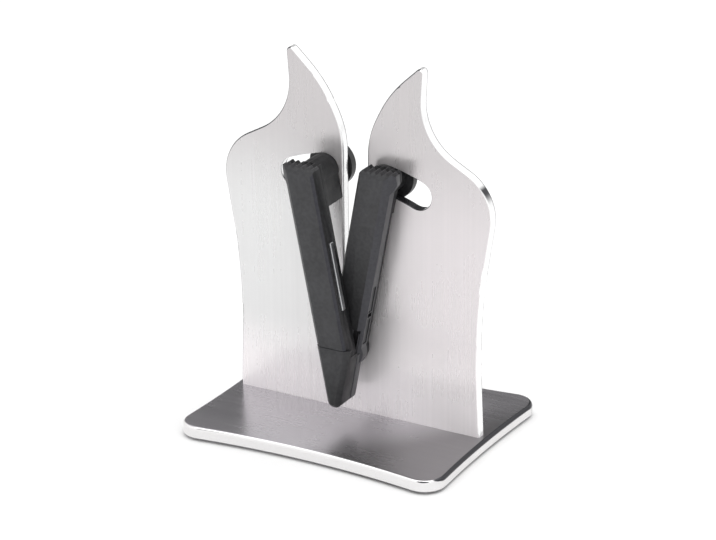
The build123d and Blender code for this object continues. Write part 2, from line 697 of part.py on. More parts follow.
def arm_nodes():
    """All the pieces that swing, by node name."""
    nodes = {"left_tip_cap": make_tip_cap()}
    for side, y_front in (("left", LEFT_FRONT), ("right", RIGHT_FRONT)):
        is_front_arm = side == "left"
        upright_pieces = {
            "arm_shell": make_shell(y_front, is_front_arm),
            "arm_back": make_back(y_front, is_front_arm),
            "carbide_bar": make_bar(y_front),
            "pivot_bush": make_arm_bush(is_front_arm),
            "guide_bush": make_guide_bush(),
            "guide_disc": make_guide_disc(),
            "guide_screw": make_guide_screw(),
        }
        placed = {name: at_rest(piece) for name, piece in upright_pieces.items()}
        screws = [at_rest(screw) for screw in make_arm_screws(y_front)]
        if not is_front_arm:
            placed = {name: to_right(piece) for name, piece in placed.items()}
            screws = [to_right(screw) for screw in screws]
        placed["arm_screws"] = Compound(children=screws)
        nodes.update({side + "_" + name: piece for name, piece in placed.items()})
    return nodes


def all_nodes():
    """Every node of the sharpener by name."""
    nodes = {
        "anti_slip_pad": make_pad(),
        "base_plate": make_base(),
        "upright_plate": make_plate(),
        "base_screws": make_base_screws(),
        "pivot_pin": make_pin(),
        "pivot_spacer": make_spacer(),
        "pivot_washer": make_washer(),
        "pivot_cap_nut": make_cap_nut(),
        "return_spring": make_spring(),
    }
    nodes.update(arm_nodes())
    return nodes


os.makedirs("parts", exist_ok=True)
for node_name, solid in all_nodes().items():
    export_step(solid, "parts/" + node_name + ".step")
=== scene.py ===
"""Looks of the pull-through knife sharpener: finishes, small modelled pieces, light and camera.

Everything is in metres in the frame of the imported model: X across the plate, Y from the arms to
the rear, Z up from the worktop.
"""

import logging
import math
from dataclasses import dataclass
from enum import Enum

import bpy
from mathutils import Matrix, Vector

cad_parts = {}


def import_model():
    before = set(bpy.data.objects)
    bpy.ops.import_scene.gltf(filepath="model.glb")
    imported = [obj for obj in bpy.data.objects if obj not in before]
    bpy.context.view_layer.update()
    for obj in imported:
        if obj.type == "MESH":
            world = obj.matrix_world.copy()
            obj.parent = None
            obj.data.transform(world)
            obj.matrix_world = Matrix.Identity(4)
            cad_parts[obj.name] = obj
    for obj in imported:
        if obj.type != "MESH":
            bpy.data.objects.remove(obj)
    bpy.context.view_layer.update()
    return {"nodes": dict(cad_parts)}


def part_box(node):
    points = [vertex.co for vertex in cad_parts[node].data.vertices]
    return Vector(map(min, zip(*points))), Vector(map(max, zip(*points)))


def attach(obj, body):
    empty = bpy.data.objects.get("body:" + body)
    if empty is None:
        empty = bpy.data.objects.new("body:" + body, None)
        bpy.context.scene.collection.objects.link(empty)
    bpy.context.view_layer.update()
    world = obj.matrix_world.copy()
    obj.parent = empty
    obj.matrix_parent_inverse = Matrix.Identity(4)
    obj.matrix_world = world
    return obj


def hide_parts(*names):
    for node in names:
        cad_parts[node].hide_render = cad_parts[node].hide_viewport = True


LOG = logging.getLogger("sharpener")
MM = 0.001

Colour = tuple[float, float, float]
Direction = tuple[float, float, float]
Socket = bpy.types.NodeSocket
Feed = Socket | float | tuple[float, ...]
Nodes = dict[str, bpy.types.Object]

RIGHTWARD: Direction = (1.0, 0.0, 0.0)
LEFTWARD: Direction = (-1.0, 0.0, 0.0)
REARWARD: Direction = (0.0, 1.0, 0.0)
FORWARD: Direction = (0.0, -1.0, 0.0)
UPWARD: Direction = (0.0, 0.0, 1.0)
DOWNWARD: Direction = (0.0, 0.0, -1.0)


class Grain(Enum):
    """Direction of the brushing or of the tool marks on a metal surface."""

    UPRIGHT = "upright"
    ACROSS = "across"
    TURNED = "turned"


class Source(Enum):
    """What is measured: the place on the piece or the way the surface faces."""

    PLACE = "Object"
    FACING = "Normal"


@dataclass(frozen=True)
class Measure:
    """Share that rises from 0 to 1 along a direction, by place in metres or by facing."""

    source: Source
    direction: Direction
    start: float
    end: float


@dataclass(frozen=True)
class Tone:
    """A second colour that comes in where its measures hold, all of them together; here always
    painted light, shade or reflection.
    """

    colour: Colour
    measures: tuple[Measure, ...]


def by_place(direction: Direction, start: float, end: float) -> Measure:
    """Measure along a direction through the piece, in metres."""
    return Measure(Source.PLACE, direction, start, end)


def by_facing(direction: Direction, start: float, end: float) -> Measure:
    """Measure of how far the surface faces a direction."""
    return Measure(Source.FACING, direction, start, end)


def rgba(colour: Colour) -> tuple[float, float, float, float]:
    """Colour with full alpha."""
    return (*colour, 1.0)


def scaled(colour: Colour, share: float) -> Colour:
    """Colour with each of its levels multiplied by a share."""
    red, green, blue = colour
    return (share * red, share * green, share * blue)


# Node building


@dataclass
class Graph:
    """A node tree with short ways to add and join nodes."""

    tree: bpy.types.NodeTree

    def add(self, kind: str, **settings: object) -> bpy.types.Node:
        """Add a node and set its properties.

        Args:
            kind: the node's type name.
            settings: properties to set on the new node.

        Returns:
            The new node.
        """
        node = self.tree.nodes.new(kind)
        for name, value in settings.items():
            setattr(node, name, value)
        return node

    def put(self, source: Feed, target: Socket) -> None:
        """Link a socket, or set a plain value, on a target socket.

        Args:
            source: an output socket or a value.
            target: the input socket.
        """
        if isinstance(source, Socket):
            self.tree.links.new(source, target)
        else:
            target.default_value = source

    def math(self, operation: str, first: Feed, second: Feed, clamp: bool = False) -> Socket:
        """Math node on two values.

        Args:
            operation: name of the operation.
            first: first value or socket.
            second: second value or socket.
            clamp: whether the result is held between 0 and 1.

        Returns:
            The result's socket.
        """
        node = self.add("ShaderNodeMath", operation=operation, use_clamp=clamp)
        self.put(first, node.inputs[0])
        self.put(second, node.inputs[1])
        return node.outputs[0]

    def vector(self, operation: str, first: Feed, second: Feed) -> bpy.types.Node:
        """Vector math node on two vectors.

        Args:
            operation: name of the operation.
            first: first vector or socket.
            second: second vector or socket.

        Returns:
            The node.
        """
        node = self.add("ShaderNodeVectorMath", operation=operation)
        self.put(first, node.inputs[0])
        self.put(second, node.inputs[1])
        return node

    def remap(self, value: Feed, low: Feed, high: Feed, to_low: Feed, to_high: Feed) -> Socket:
        """Smooth map from one range to another.

        Args:
            value: the value or socket to map.
            low: input at the lower end.
            high: input at the upper end.
            to_low: output at the lower end.
            to_high: output at the upper end.

        Returns:
            The result's socket.
        """
        node = self.add("ShaderNodeMapRange", interpolation_type="SMOOTHSTEP")
        names = ("Value", "From Min", "From Max", "To Min", "To Max")
        for name, source in zip(names, (value, low, high, to_low, to_high)):
            self.put(source, node.inputs[name])
        return node.outputs["Result"]

    def rise(self, value: Feed, low: Feed, high: Feed) -> Socket:
        """Smooth rise from 0 to 1 as a value goes from a low to a high level."""
        return self.remap(value, low, high, 0.0, 1.0)

    def mix(self, factor: Feed, first: Feed, second: Feed) -> Socket:
        """Blend of two colours.

        Args:
            factor: 0 for the first colour, 1 for the second.
            first: first colour or socket.
            second: second colour or socket.

        Returns:
            The blended colour's socket.
        """
        node = self.add("ShaderNodeMix", data_type="RGBA")
        self.put(factor, node.inputs[0])
        self.put(first, node.inputs[6])
        self.put(second, node.inputs[7])
        return node.outputs[2]

    def noise(self, place: Feed, scale: Feed, detail: float, coarseness: float = 0.5) -> Socket:
        """Noise texture in three dimensions.

        Args:
            place: where the noise is read.
            scale: how fine it is.
            detail: number of finer layers.
            coarseness: how strong the finer layers are.

        Returns:
            The noise's socket.
        """
        node = self.add("ShaderNodeTexNoise", noise_dimensions="3D")
        self.put(place, node.inputs["Vector"])
        self.put(scale, node.inputs["Scale"])
        self.put(detail, node.inputs["Detail"])
        self.put(coarseness, node.inputs["Roughness"])
        return node.outputs["Fac"]

    def bump(self, height: Feed, depth: float, strength: float, invert: bool = False) -> Socket:
        """Normal of a surface with fine relief.

        Args:
            height: the relief, from 0 to 1.
            depth: what a height of 1 stands for, in metres.
            strength: share of the relief that shows.
            invert: whether a high value lies deep.

        Returns:
            The normal's socket.
        """
        node = self.add("ShaderNodeBump", invert=invert)
        self.put(depth, node.inputs["Distance"])
        self.put(strength, node.inputs["Strength"])
        self.put(height, node.inputs["Height"])
        return node.outputs["Normal"]

    def group(self, tree: bpy.types.NodeTree, **values: Feed) -> bpy.types.Node:
        """Place a node group and set its inputs by name, with _ for a space.

        Args:
            tree: the group's tree.
            values: inputs by name.

        Returns:
            The group node.
        """
        node = self.add("ShaderNodeGroup", node_tree=tree)
        for name, value in values.items():
            self.put(value, node.inputs[name.replace("_", " ")])
        return node


def new_group(
    name: str, inputs: dict[str, tuple[str, Feed | None]], outputs: tuple[str, ...],
) -> tuple[Graph, bpy.types.Node, bpy.types.Node]:
    """Start a shader node group with named sockets.

    Args:
        name: the group's name.
        inputs: socket type and default by input name.
        outputs: names of the outputs, which are all plain values.

    Returns:
        The group's graph, its input node and its output node.
    """
    tree = bpy.data.node_groups.new(name, "ShaderNodeTree")
    for label, (kind, default) in inputs.items():
        socket = tree.interface.new_socket(name=label, in_out="INPUT", socket_type=kind)
        if default is not None:
            socket.default_value = default
    for label in outputs:
        tree.interface.new_socket(name=label, in_out="OUTPUT", socket_type="NodeSocketFloat")
    graph = Graph(tree)
    return graph, graph.add("NodeGroupInput"), graph.add("NodeGroupOutput")


@dataclass
class SharedEffects:
    """The node groups that more than one finish uses."""

    brushing: bpy.types.NodeTree
    mottle: bpy.types.NodeTree
    measure: bpy.types.NodeTree

    @classmethod
    def build(cls) -> "SharedEffects":
        """Make the three groups.

        Returns:
            The groups in one object.
        """
        return cls(cls.build_brushing(), cls.build_mottle(), cls.build_measure())

    @staticmethod
    def build_brushing() -> bpy.types.NodeTree:
        """Long fine scratches: noise that is stretched along the grain.

        Returns:
            The group's tree.
        """
        broad_share = 0.4
        inputs = {
            "Position": ("NodeSocketVector", None),
            "Stretch": ("NodeSocketVector", (1.0, 1.0, 1.0)),
            "Fineness": ("NodeSocketFloat", 1400.0),
        }
        graph, start, end = new_group("brushing", inputs, ("Height", "Streak"))
        place, fineness = start.outputs["Position"], start.outputs["Fineness"]
        stretched = graph.vector("MULTIPLY", place, start.outputs["Stretch"]).outputs[0]
        fine = graph.noise(stretched, fineness, detail=1.5, coarseness=0.62)
        broad = graph.noise(stretched, graph.math("MULTIPLY", fineness, broad_share), detail=2.0)
        graph.put(graph.rise(fine, 0.28, 0.72), end.inputs["Height"])
        graph.put(graph.rise(broad, 0.3, 0.7), end.inputs["Streak"])
        return graph.tree

    @staticmethod
    def build_mottle() -> bpy.types.NodeTree:
        """Soft cloudy patches, for smudges and handling marks, with a fine skin texture.

        Returns:
            The group's tree.
        """
        inputs = {
            "Position": ("NodeSocketVector", None),
            "Patch Scale": ("NodeSocketFloat", 60.0),
            "Skin Scale": ("NodeSocketFloat", 2200.0),
        }
        graph, start, end = new_group("mottle", inputs, ("Patches", "Skin"))
        place = start.outputs["Position"]
        patches = graph.noise(place, start.outputs["Patch Scale"], detail=4.0)
        skin = graph.noise(place, start.outputs["Skin Scale"], detail=2.0)
        graph.put(graph.rise(patches, 0.35, 0.65), end.inputs["Patches"])
        graph.put(skin, end.inputs["Skin"])
        return graph.tree

    @staticmethod
    def build_measure() -> bpy.types.NodeTree:
        """Mask that rises from 0 to 1 as a vector goes along a direction.

        Returns:
            The group's tree.
        """
        inputs = {
            "Vector": ("NodeSocketVector", None),
            "Direction": ("NodeSocketVector", REARWARD),
            "Start": ("NodeSocketFloat", 0.0),
            "End": ("NodeSocketFloat", 1.0),
        }
        graph, start, end = new_group("measure", inputs, ("Mask",))
        dot = graph.vector("DOT_PRODUCT", start.outputs["Vector"], start.outputs["Direction"])
        mask = graph.rise(dot.outputs["Value"], start.outputs["Start"], start.outputs["End"])
        graph.put(mask, end.inputs["Mask"])
        return graph.tree


# Finishes


@dataclass
class Paint:
    """A material in the making: its graph, its shader and its texture coordinates."""

    material: bpy.types.Material
    graph: Graph
    shader: bpy.types.Node
    coordinates: bpy.types.Node
    effects: SharedEffects

    @classmethod
    def start(cls, name: str, effects: SharedEffects) -> "Paint":
        """Empty material with its shader and texture coordinates.

        Args:
            name: the material's name.
            effects: the shared node groups.

        Returns:
            The new material, ready for its nodes.
        """
        material = bpy.data.materials.new(name)
        material.use_nodes = True
        material.node_tree.nodes.clear()
        graph = Graph(material.node_tree)
        shader = graph.add("ShaderNodeBsdfPrincipled")
        output = graph.add("ShaderNodeOutputMaterial")
        graph.put(shader.outputs[0], output.inputs["Surface"])
        return cls(material, graph, shader, graph.add("ShaderNodeTexCoord"), effects)

    @property
    def place(self) -> Socket:
        """Place on the piece."""
        return self.coordinates.outputs["Object"]

    def feed(self, name: str, source: Feed) -> None:
        """Feed or set one of the shader's own sockets."""
        self.graph.put(source, self.shader.inputs[name])

    def measured(self, measure: Measure) -> Socket:
        """Mask of one measure.

        Args:
            measure: the measure.

        Returns:
            The mask's socket.
        """
        placed = self.graph.group(
            self.effects.measure, Vector=self.coordinates.outputs[measure.source.value],
            Direction=measure.direction, Start=measure.start, End=measure.end,
        )
        return placed.outputs["Mask"]

    def toned(self, colour: Feed, tones: tuple[Tone, ...], within: Feed = 1.0) -> Feed:
        """Colour with painted light, shade and reflections laid over it, in order.

        Args:
            colour: the colour or socket to start from.
            tones: the painted light, shade and reflections.
            within: mask that holds the tones to a part of the surface.

        Returns:
            The toned colour's socket.
        """
        for tone in tones:
            mask = within
            for measure in tone.measures:
                mask = self.graph.math("MULTIPLY", self.measured(measure), mask)
            colour = self.graph.mix(mask, colour, rgba(tone.colour))
        return colour


@dataclass(frozen=True)
class BrushedSteel:
    """Brushed plate with polished rims, with painted light, shade and dark reflections laid on."""

    name: str
    colour: Colour
    # The tone lists below hold painted light, shade and dark reflections.
    tones: tuple[Tone, ...]
    face_direction: Direction
    rim_colour: Colour
    rim_painted_darkening: tuple[Tone, ...]
    edge_painted_darkening: tuple[Tone, ...]
    grain: Grain
    roughness: float
    rim_roughness: float
    grain_height: float
    streak_share: float
    metallic: float
    # Metallic falls along this measure to a lower value; on the plate it lets more of the painted
    # paler foot show.
    metallic_fade: Measure
    faded_metallic: float
    anisotropy: float = 0.0
    fineness: float = 1400.0
    grain_depth: float = 0.02 * MM
    streak_shade: float = 0.55
    streak_roughness: float = 0.05
    patch_scale: float = 28.0
    patch_roughness: float = 0.06
    flat_from: float = 0.80
    flat_to: float = 0.97

    def stretch(self) -> Direction:
        """Scale of the noise along X, Y and Z for this grain."""
        along = 0.004
        return (1.0, 1.0, along) if self.grain is Grain.UPRIGHT else (along, 1.0, 1.0)

    def flat_mask(self, paint: Paint) -> Socket:
        """Mask of the two brushed faces, which leaves the rims out.

        Args:
            paint: the material in the making.

        Returns:
            The mask's socket.
        """
        front = paint.measured(by_facing(self.face_direction, self.flat_from, self.flat_to))
        away = scaled(self.face_direction, -1.0)
        back = paint.measured(by_facing(away, self.flat_from, self.flat_to))
        return paint.graph.math("ADD", front, back, clamp=True)

    def body_colour(self, paint: Paint, flat: Socket, streak: Socket) -> Feed:
        """Colour of the faces, the rims and the edges, with painted light, shade and dark
        reflections laid over them.

        Args:
            paint: the material in the making.
            flat: mask of the brushed faces.
            streak: the broad streaks of the brushing.

        Returns:
            The colour's socket.
        """
        graph = paint.graph
        face = paint.toned(rgba(self.colour), self.tones)
        unstreaked = graph.math("SUBTRACT", 1.0, streak)
        darker = graph.math("MULTIPLY", unstreaked, self.streak_share)
        face = graph.mix(darker, face, rgba(scaled(self.colour, self.streak_shade)))
        body = graph.mix(flat, rgba(self.rim_colour), face)
        body = paint.toned(body, self.rim_painted_darkening, graph.math("SUBTRACT", 1.0, flat))
        return paint.toned(body, self.edge_painted_darkening)

    def build(self, effects: SharedEffects) -> bpy.types.Material:
        """Make the material.

        Args:
            effects: the shared node groups.

        Returns:
            The material.
        """
        paint = Paint.start(self.name, effects)
        graph = paint.graph
        brushing = graph.group(
            effects.brushing, Position=paint.place, Stretch=self.stretch(), Fineness=self.fineness,
        )
        mottle = graph.group(effects.mottle, Position=paint.place, Patch_Scale=self.patch_scale)
        streak = brushing.outputs["Streak"]
        flat = self.flat_mask(paint)
        paint.feed("Base Color", self.body_colour(paint, flat, streak))
        smudged = graph.math("MULTIPLY", mottle.outputs["Patches"], self.patch_roughness)
        rough = graph.math("ADD", self.roughness, smudged)
        rough = graph.math("ADD", rough, graph.math("MULTIPLY", streak, self.streak_roughness))
        paint.feed("Roughness", graph.remap(flat, 0.0, 1.0, self.rim_roughness, rough))
        paint.feed("Anisotropic", self.anisotropy)
        metallic_fade = paint.measured(self.metallic_fade)
        paint.feed("Metallic", graph.remap(metallic_fade, 0.0, 1.0, self.metallic, self.faded_metallic))
        height = graph.math("MULTIPLY", brushing.outputs["Height"], flat)
        paint.feed("Normal", graph.bump(height, self.grain_depth, self.grain_height))
        return paint.material


@dataclass(frozen=True)
class MouldedPlastic:
    """Black moulding with a fine skin, rubbed patches, and painted light and shade by side and
    height.
    """

    name: str
    colour: Colour
    rubbed_colour: Colour
    tones: tuple[Tone, ...]
    roughness: float
    skin_height: float
    specular: float = 0.35
    skin_depth: float = 0.03 * MM
    skin_scale: float = 3200.0
    patch_scale: float = 90.0
    patch_roughness: float = 0.04
    speckle_scale: float = 700.0
    speckle_colour: Colour = (0.5, 0.5, 0.52)
    speckle_share: float = 0.018

    def build(self, effects: SharedEffects) -> bpy.types.Material:
        """Make the material.

        Args:
            effects: the shared node groups.

        Returns:
            The material.
        """
        paint = Paint.start(self.name, effects)
        graph = paint.graph
        mottle = graph.group(
            effects.mottle, Position=paint.place,
            Patch_Scale=self.patch_scale, Skin_Scale=self.skin_scale,
        )
        speckle = graph.group(effects.mottle, Position=paint.place, Patch_Scale=self.speckle_scale)
        patches = mottle.outputs["Patches"]
        rubbed = graph.mix(patches, rgba(self.colour), rgba(self.rubbed_colour))
        body = paint.toned(rubbed, self.tones)
        pale = graph.math("MULTIPLY", speckle.outputs["Patches"], self.speckle_share)
        paint.feed("Base Color", graph.mix(pale, body, rgba(self.speckle_colour)))
        dullest = self.roughness + self.patch_roughness
        shiniest = self.roughness - self.patch_roughness
        paint.feed("Roughness", graph.remap(patches, 0.0, 1.0, dullest, shiniest))
        paint.feed("Specular IOR Level", self.specular)
        paint.feed("Normal", graph.bump(mottle.outputs["Skin"], self.skin_depth, self.skin_height))
        return paint.material


@dataclass(frozen=True)
class MachinedMetal:
    """Small turned or ground part with fine tool marks."""

    name: str
    colour: Colour
    roughness: float
    grain: Grain
    fineness: float = 3400.0
    mark_depth: float = 0.01 * MM
    mark_height: float = 0.15
    streak_shade: float = 0.7
    streak_share: float = 0.3
    streak_roughness: float = 0.06

    def stretch(self) -> Direction:
        """Scale of the noise along X, Y and Z for this grain."""
        ground, turned = 0.06, 6.0
        return (1.0, turned if self.grain is Grain.TURNED else ground, 1.0)

    def build(self, effects: SharedEffects) -> bpy.types.Material:
        """Make the material.

        Args:
            effects: the shared node groups.

        Returns:
            The material.
        """
        paint = Paint.start(self.name, effects)
        graph = paint.graph
        brushing = graph.group(
            effects.brushing, Position=paint.place, Stretch=self.stretch(), Fineness=self.fineness,
        )
        streak = brushing.outputs["Streak"]
        shade = rgba(scaled(self.colour, self.streak_shade))
        darker = graph.math("MULTIPLY", streak, self.streak_share)
        paint.feed("Base Color", graph.mix(darker, rgba(self.colour), shade))
        roughest = self.roughness + self.streak_roughness
        paint.feed("Roughness", graph.remap(streak, 0.0, 1.0, self.roughness, roughest))
        paint.feed("Metallic", 1.0)
        height = brushing.outputs["Height"]
        paint.feed("Normal", graph.bump(height, self.mark_depth, self.mark_height))
        return paint.material


@dataclass(frozen=True)
class Rubber:
    """Dull rubber sheet with close rows of fine pips."""

    name: str
    colour: Colour
    pip_scale: float
    pip_scatter: float = 0.12
    pip_depth: float = 0.2 * MM
    pip_height: float = 0.6
    patch_shade: float = 2.0
    roughness: float = 0.8
    patch_roughness: float = 0.1

    def build(self, effects: SharedEffects) -> bpy.types.Material:
        """Make the material.

        Args:
            effects: the shared node groups.

        Returns:
            The material.
        """
        paint = Paint.start(self.name, effects)
        graph = paint.graph
        patches = graph.group(effects.mottle, Position=paint.place).outputs["Patches"]
        cells = graph.add("ShaderNodeTexVoronoi", feature="F1")
        graph.put(paint.place, cells.inputs["Vector"])
        graph.put(self.pip_scale, cells.inputs["Scale"])
        graph.put(self.pip_scatter, cells.inputs["Randomness"])
        paler = rgba(scaled(self.colour, self.patch_shade))
        paint.feed("Base Color", graph.mix(patches, rgba(self.colour), paler))
        roughest = self.roughness + self.patch_roughness
        paint.feed("Roughness", graph.remap(patches, 0.0, 1.0, self.roughness, roughest))
        relief = graph.bump(cells.outputs["Distance"], self.pip_depth, self.pip_height, invert=True)
        paint.feed("Normal", relief)
        return paint.material


@dataclass
class Finishes:
    """All the finishes of the sharpener."""

    plate: bpy.types.Material
    base: bpy.types.Material
    left_plastic: bpy.types.Material
    right_plastic: bpy.types.Material
    inner_plastic: bpy.types.Material
    cap_plastic: bpy.types.Material
    guide: bpy.types.Material
    carbide: bpy.types.Material
    fastener: bpy.types.Material
    spring: bpy.types.Material
    rubber: bpy.types.Material

    @classmethod
    def build(cls, effects: SharedEffects) -> "Finishes":
        """Make every finish.

        Args:
            effects: the shared node groups.

        Returns:
            The finishes in one object.
        """
        rubber = Rubber("pad_rubber", colour=(0.018, 0.018, 0.018), pip_scale=900.0)
        makers = (
            cls.plate_steel(), cls.base_steel(), *cls.arm_plastics(), *cls.hidden_plastics(),
            *cls.small_metals(), rubber,
        )
        return cls(*[maker.build(effects) for maker in makers])

    @staticmethod
    def plate_steel() -> BrushedSteel:
        """The finish of the upright plate.

        Returns:
            The finish, with painted light: pinker and a little darker to the right, paler low down,
                darker on the horns, and with painted dark lines on the rims.
        """
        # Near-black for the painted dark reflections and shade on the rims.
        dark = (0.05, 0.05, 0.055)
        # Painted dark reflection: a thin dark line along the rear rounding of the rims.
        rear_rim_painted_reflection = Tone((0.09, 0.09, 0.095), (by_place(REARWARD, 3.3 * MM, 3.7 * MM),))
        # Painted dark reflection on the front rounding of the left-facing rims.
        front_edge = by_place(FORWARD, -1.0 * MM, -0.7 * MM)
        left_rim_painted_reflection = Tone(dark, (by_facing((-0.8, 0.0, 0.6), 0.20, 0.42), front_edge))
        # Painted shade and dark reflection on the upward-facing lower walls of the slots.
        above_slot_foot = by_place(UPWARD, 92 * MM, 94 * MM)
        below_slot_top = by_place(DOWNWARD, -114 * MM, -112 * MM)
        slot_wall_painted_dark = Tone(dark, (by_facing(UPWARD, 0.30, 0.55), above_slot_foot, below_slot_top))
        return BrushedSteel(
            name="plate_steel",
            colour=(0.765, 0.765, 0.765),
            tones=(
                # Painted light: pinker and a little darker towards the right, standing in for a
                # second light.
                Tone((0.74, 0.70, 0.713), (by_place(RIGHTWARD, -45 * MM, 45 * MM),)),
                # Painted light: paler towards the foot.
                Tone((0.99, 0.95, 0.96), (by_place(DOWNWARD, -44 * MM, -14 * MM),)),
                # Painted shade: darker up on the horns.
                Tone((0.60, 0.575, 0.58), (by_place(UPWARD, 85 * MM, 135 * MM),)),
            ),
            face_direction=REARWARD,
            rim_colour=(0.96, 0.96, 0.96),
            rim_painted_darkening=(rear_rim_painted_reflection, left_rim_painted_reflection, slot_wall_painted_dark),
            edge_painted_darkening=(),
            grain=Grain.UPRIGHT,
            roughness=0.24,
            rim_roughness=0.10,
            grain_height=0.05,
            streak_share=0.08,
            metallic=0.62,
            # Lower metallic towards the foot, part of the painted paler foot.
            metallic_fade=by_place(DOWNWARD, -46 * MM, -14 * MM),
            faded_metallic=0.40,
            anisotropy=0.65,
        )

    @staticmethod
    def base_steel() -> BrushedSteel:
        """The finish of the base.

        Returns:
            The finish, with painted shade on the top towards the front right, a painted dark
            reflection on the right upper edge and a painted dark glint at the front right corner.
        """
        # Near-black for the painted dark reflection and glint.
        dark = (0.05, 0.05, 0.055)
        return BrushedSteel(
            name="base_steel",
            colour=(0.50, 0.485, 0.51),
            # Painted shade: the top darker towards the front right, toning down its reflection.
            tones=(Tone((0.25, 0.242, 0.25), (by_place((0.8, -0.6, 0.0), 18 * MM, 42 * MM),)),),
            face_direction=UPWARD,
            rim_colour=(0.80, 0.79, 0.79),
            rim_painted_darkening=(),
            edge_painted_darkening=(
                # Painted dark reflection on the rounding of the right upper edge.
                Tone(dark, (by_facing((0.72, 0.25, 0.65), 0.73, 0.80),)),
                # Painted dark glint on the top rounding at the front right corner.
                Tone(dark, (by_facing((0.30, -0.70, 0.65), 0.97, 0.985),)),
            ),
            grain=Grain.ACROSS,
            roughness=0.22,
            rim_roughness=0.10,
            grain_height=0.07,
            streak_share=0.05,
            metallic=0.88,
            metallic_fade=by_place(FORWARD, 20 * MM, 46 * MM),
            faded_metallic=0.82,
        )

    @staticmethod
    def arm_plastics() -> tuple[MouldedPlastic, MouldedPlastic]:
        """The finishes of the two arm shells, with painted light and shade on their sides and tops.

        Returns:
            Left arm and right arm.
        """
        # Painted shade: the upward-facing tops darker.
        top = Tone((0.014, 0.014, 0.016), (by_facing(UPWARD, 0.45, 0.75),))
        left = MouldedPlastic(
            name="left_arm_plastic",
            colour=(0.031, 0.031, 0.033),
            rubbed_colour=(0.037, 0.037, 0.040),
            tones=(
                # Painted shade: the left arm's right side, which faces the other arm, darker.
                Tone((0.022, 0.022, 0.029), (by_facing(RIGHTWARD, 0.25, 0.55),)),
                Tone((0.010, 0.010, 0.011), (by_facing(RIGHTWARD, 0.80, 0.95),)),
                # Painted shade: the left-facing side darker.
                Tone((0.016, 0.016, 0.018), (by_facing(LEFTWARD, 0.30, 0.60),)),
                top,
            ),
            roughness=0.46,
            skin_height=0.4,
        )
        right = MouldedPlastic(
            name="right_arm_plastic",
            colour=(0.032, 0.032, 0.034),
            rubbed_colour=(0.038, 0.038, 0.041),
            tones=(
                # Painted shade: the right arm darker towards the bottom.
                Tone((0.014, 0.014, 0.015), (by_place(DOWNWARD, -100 * MM, -62 * MM),)),
                # Painted light: the right arm's right side, open to the light, paler.
                Tone((0.036, 0.036, 0.042), (by_facing(RIGHTWARD, 0.25, 0.55),)),
                Tone((0.080, 0.080, 0.084), (by_facing(RIGHTWARD, 0.80, 0.95),)),
                # Painted shade: the left-facing side darker.
                Tone((0.012, 0.012, 0.013), (by_facing(LEFTWARD, 0.30, 0.60),)),
                top,
            ),
            roughness=0.46,
            skin_height=0.4,
        )
        return left, right

    @staticmethod
    def hidden_plastics() -> tuple[MouldedPlastic, MouldedPlastic, MouldedPlastic]:
        """The finishes of the other mouldings, the tip cap with painted shade.

        Returns:
            Inner pieces, tip cap and guide pieces.
        """
        inner = MouldedPlastic(
            name="inner_plastic",
            colour=(0.009, 0.009, 0.010),
            rubbed_colour=(0.014, 0.014, 0.015),
            tones=(),
            roughness=0.46,
            skin_height=0.35,
            specular=0.15,
        )
        cap = MouldedPlastic(
            name="cap_plastic",
            colour=(0.024, 0.024, 0.026),
            rubbed_colour=(0.032, 0.032, 0.035),
            tones=(
                # Painted shade: the tip cap darker towards the bottom.
                Tone((0.016, 0.016, 0.017), (by_place(DOWNWARD, -34 * MM, -18 * MM),)),
                # Painted shade: the tip cap's right-facing side darker.
                Tone((0.012, 0.012, 0.013), (by_facing(RIGHTWARD, 0.60, 0.90),)),
            ),
            roughness=0.44,
            skin_height=0.4,
        )
        guide = MouldedPlastic(
            name="guide_plastic",
            colour=(0.014, 0.014, 0.015),
            rubbed_colour=(0.020, 0.020, 0.021),
            tones=(),
            roughness=0.38,
            skin_height=0.25,
        )
        return inner, cap, guide

    @staticmethod
    def small_metals() -> tuple[MachinedMetal, MachinedMetal, MachinedMetal]:
        """The finishes of the small metal pieces.

        Returns:
            Carbide, fasteners and spring wire.
        """
        carbide = MachinedMetal("ground_carbide", (0.52, 0.53, 0.54), 0.34, Grain.ACROSS)
        fastener = MachinedMetal("turned_steel", (0.62, 0.61, 0.60), 0.25, Grain.TURNED)
        spring = MachinedMetal("blued_spring_wire", (0.10, 0.10, 0.11), 0.3, Grain.TURNED)
        return carbide, fastener, spring


# Modelling helpers


def dress(obj: bpy.types.Object, material: bpy.types.Material) -> None:
    """Give an object one material.

    Args:
        obj: the object.
        material: its material.
    """
    obj.data.materials.clear()
    obj.data.materials.append(material)


def deselect_all() -> None:
    """Leave object mode with nothing selected."""
    if bpy.context.mode != "OBJECT":
        bpy.ops.object.mode_set(mode="OBJECT")
    bpy.ops.object.select_all(action="DESELECT")


def take(obj: bpy.types.Object) -> None:
    """Select one object alone and make it the active one.

    Args:
        obj: the object.
    """
    deselect_all()
    obj.select_set(True)
    bpy.context.view_layer.objects.active = obj


def settle(obj: bpy.types.Object, name: str) -> None:
    """Name an object and put its place into its mesh, with its normals outwards.

    Args:
        obj: the object.
        name: its new name.
    """
    take(obj)
    bpy.ops.object.transform_apply(location=True, rotation=True, scale=True)
    bpy.ops.object.mode_set(mode="EDIT")
    bpy.ops.mesh.select_all(action="SELECT")
    bpy.ops.mesh.remove_doubles(threshold=0.001 * MM)
    bpy.ops.mesh.normals_make_consistent(inside=False)
    bpy.ops.object.mode_set(mode="OBJECT")
    bpy.ops.object.shade_smooth_by_angle(angle=math.radians(32))
    obj.name = name
    obj.data.name = name


